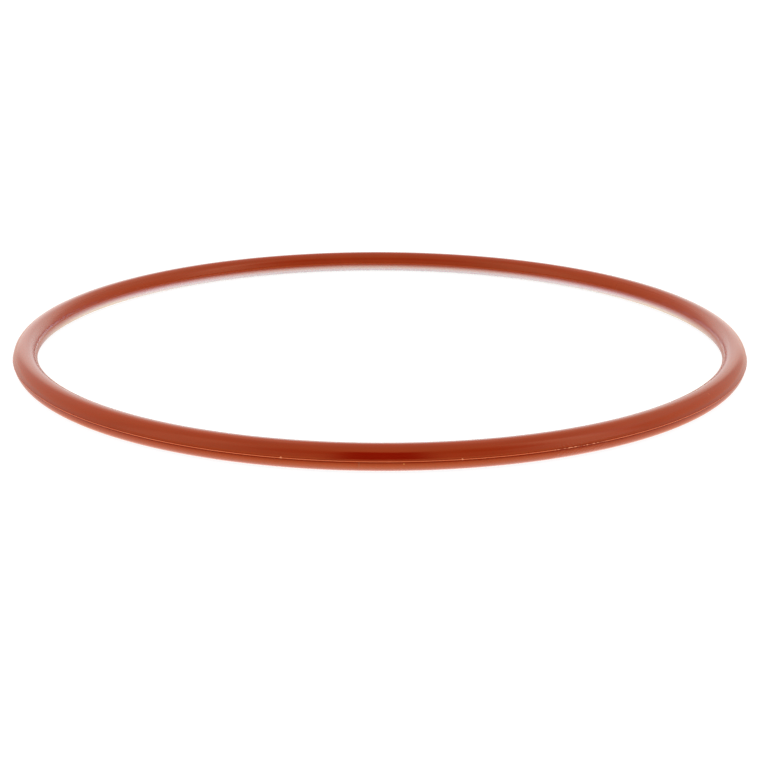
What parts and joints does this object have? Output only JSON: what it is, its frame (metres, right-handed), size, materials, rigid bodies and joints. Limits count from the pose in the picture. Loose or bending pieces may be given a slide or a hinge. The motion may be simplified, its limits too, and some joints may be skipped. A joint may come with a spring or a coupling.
{
  "type": "o-ring",
  "caption": "Round silicone rubber O-ring with a circular section and thin moulding flash on its parting line.",
  "frame": {"origin": "centre of the ring, in the plane of the mould's parting line", "axes": "+Z is the ring's axis and points up from the surface the ring lies on; X and Y lie in the ring's plane, with -Y towards the front of the picture"},
  "size_m": [0.169, 0.169, 0.0054],
  "materials": {
    "silicone": "smooth brick-red silicone rubber as moulded, with a soft gloss"
  },
  "bodies": {
    "root": {"o_ring": "silicone"}
  },
  "joints": []
}
